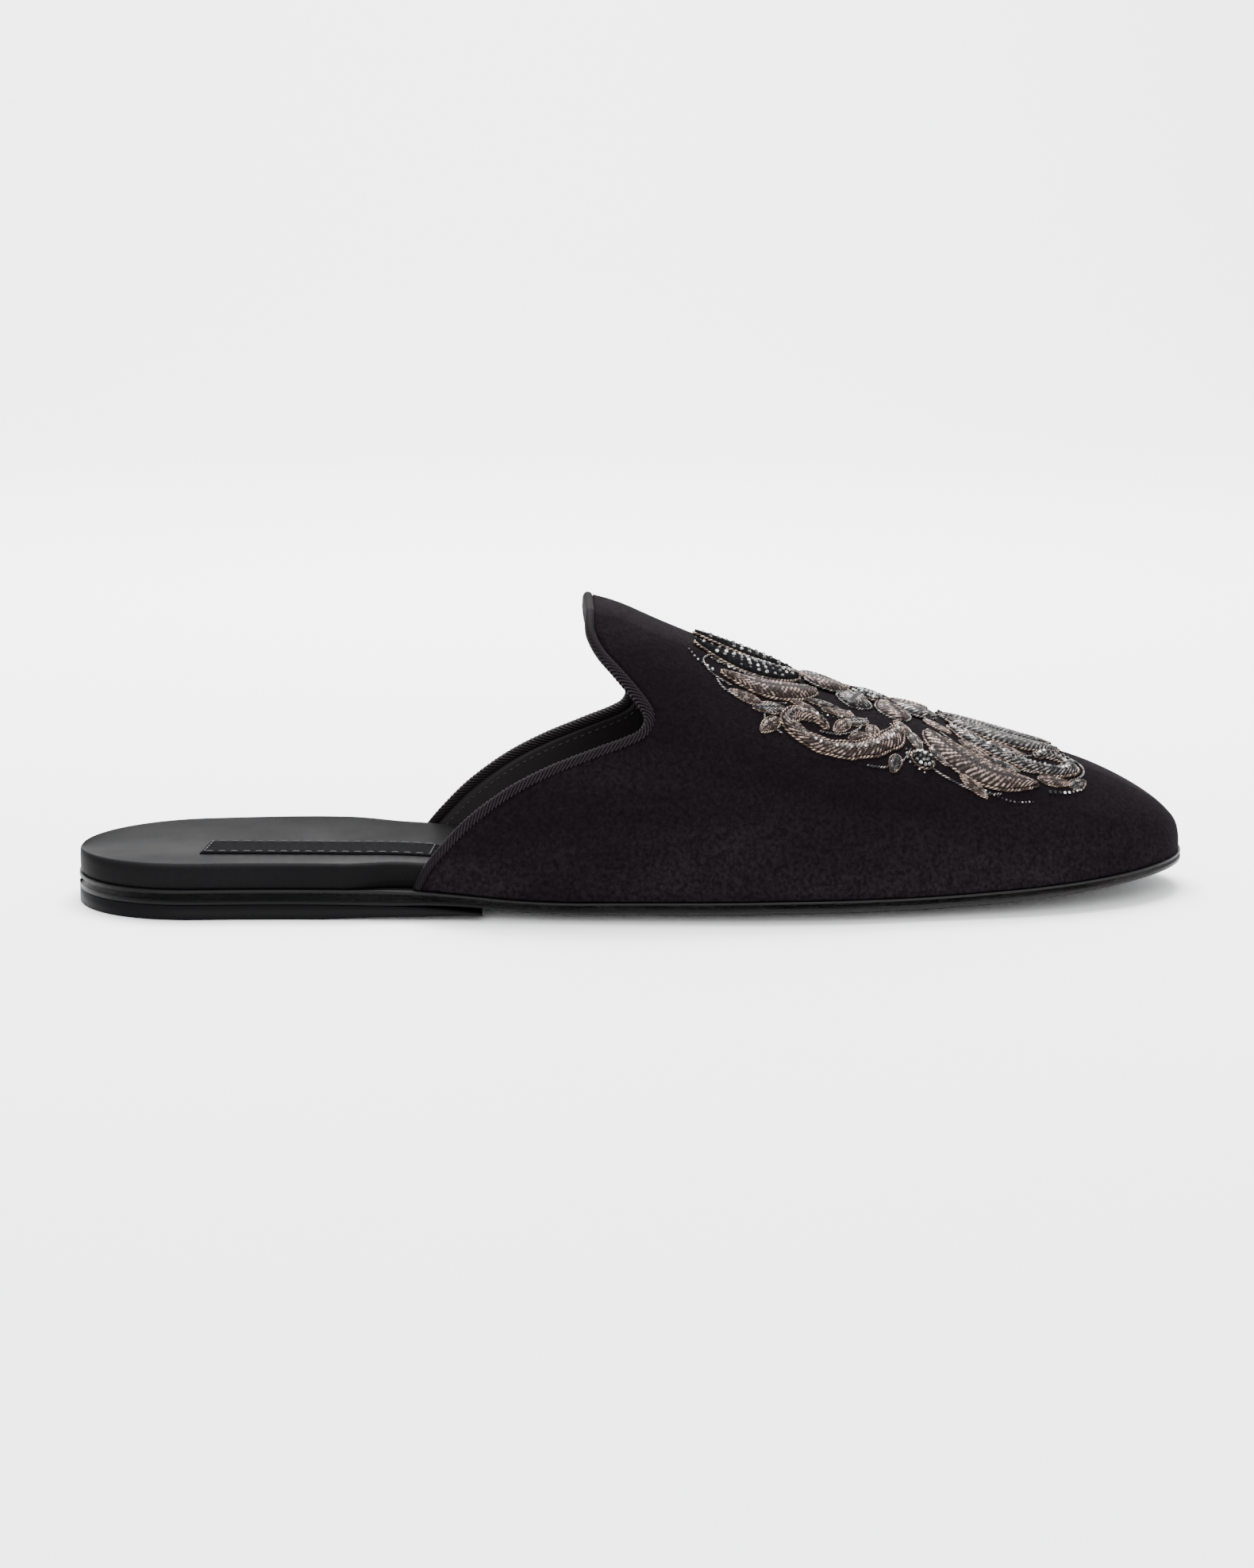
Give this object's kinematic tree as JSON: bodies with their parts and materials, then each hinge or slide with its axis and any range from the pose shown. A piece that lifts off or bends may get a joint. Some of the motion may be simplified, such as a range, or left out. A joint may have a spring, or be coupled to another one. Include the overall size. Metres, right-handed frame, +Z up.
{
  "type": "velvet slipper (backless)",
  "caption": "Backless black velvet slipper, right foot, with a high vamp, ribbed binding, floral metallic embroidery, padded leather insole and thin leather sole.",
  "frame": {"origin": "middle of the shoe's box on the floor", "axes": "+X from heel to toe, +Z up, -Y the outer (lateral) side"},
  "size_m": [0.29, 0.0933, 0.0789],
  "materials": {
    "velvet": "black velvet pile, leather lined",
    "ribbed_binding": "twisted rib textile",
    "sole_leather": "painted, burnished edge",
    "heel_rubber": "matte",
    "insole_leather": "smooth, soft sheen",
    "woven_label": "woven, stitched edge",
    "silver_thread": "metallic bullion and beads",
    "rose_thread": "satin stitch, silky"
  },
  "bodies": {
    "root": {"outsole": "sole_leather", "heel": "heel_rubber", "insole": "insole_leather", "upper": "velvet", "topline_binding": "ribbed_binding", "insole_label": "woven_label", "flower_centre": "silver_thread", "petal_1": "rose_thread", "petal_2": "rose_thread", "petal_3": "rose_thread", "petal_4": "rose_thread", "petal_5": "rose_thread", "petal_6": "rose_thread", "petal_7": "rose_thread", "petal_8": "rose_thread", "bud": "rose_thread", "leaf_toe_outer": "rose_thread", "leaf_flank_outer": "rose_thread", "leaf_throat_outer": "rose_thread", "leaf_shoulder_outer": "rose_thread", "tendril_toe_outer": "silver_thread", "tendril_flank_outer": "silver_thread", "berry_flank_outer": "silver_thread", "leaf_toe_inner": "rose_thread", "leaf_flank_inner": "rose_thread", "leaf_throat_inner": "rose_thread", "leaf_shoulder_inner": "rose_thread", "tendril_toe_inner": "silver_thread", "tendril_flank_inner": "silver_thread", "berry_flank_inner": "silver_thread"}
  },
  "joints": []
}
